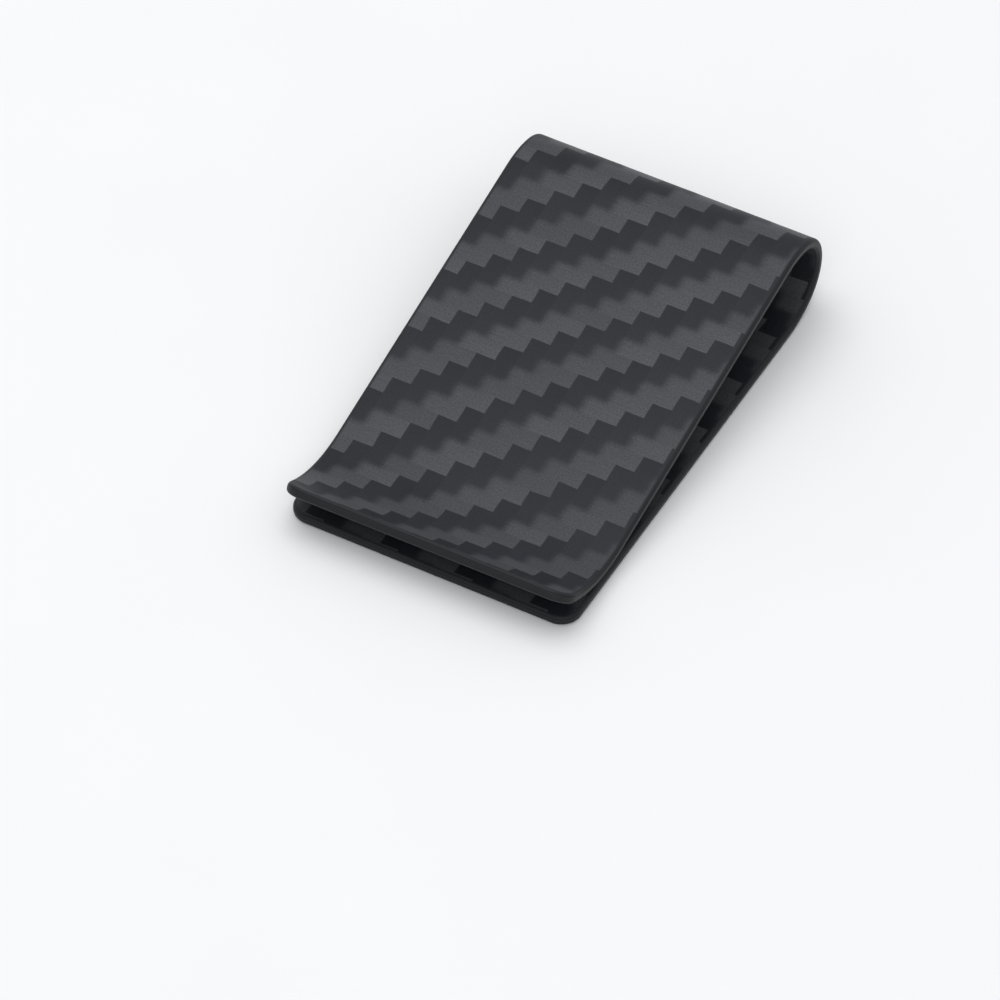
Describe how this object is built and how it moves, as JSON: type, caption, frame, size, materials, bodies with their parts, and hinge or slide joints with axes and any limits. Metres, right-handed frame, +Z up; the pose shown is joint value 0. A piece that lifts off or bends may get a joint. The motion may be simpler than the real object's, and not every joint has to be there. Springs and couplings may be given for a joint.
{
  "type": "money clip",
  "caption": "Flat sprung clip for folded banknotes and cards: a woven laminate strip bent round a bow into a back leaf and a front leaf that ends in an upturned lip.",
  "frame": {"origin": "centre of the bounding box, on the plane the back leaf lies on", "axes": "+X across the clip, +Y from the open mouth towards the bow, +Z up from the back leaf to the front leaf"},
  "size_m": [0.038, 0.0647, 0.0128],
  "materials": {
    "outer_twill": "matte clear resin over woven carbon-fibre tows",
    "core_plies": "sanded and sealed edge of stacked plies",
    "inner_twill": "matte clear resin over woven carbon-fibre tows"
  },
  "bodies": {
    "back": {"back_leaf_outer_ply": "outer_twill", "back_leaf_core": "core_plies", "back_leaf_inner_ply": "inner_twill", "back_bow_outer_ply": "outer_twill", "back_bow_core": "core_plies", "back_bow_inner_ply": "inner_twill"},
    "front": {"front_bow_outer_ply": "outer_twill", "front_bow_core": "core_plies", "front_bow_inner_ply": "inner_twill", "front_leaf_outer_ply": "outer_twill", "front_leaf_core": "core_plies", "front_leaf_inner_ply": "inner_twill", "lip_outer_ply": "outer_twill", "lip_core": "core_plies", "lip_inner_ply": "inner_twill"}
  },
  "joints": [
    {"name": "bow_flex", "type": "hinge", "parent": "back", "child": "front", "pos_m": [0, 0.02846, 0.00683], "axis": [-1, 0, 0], "range_deg": [0, 8], "stiffness_Nm_per_rad": 5, "springref_deg": -1.15}
  ]
}
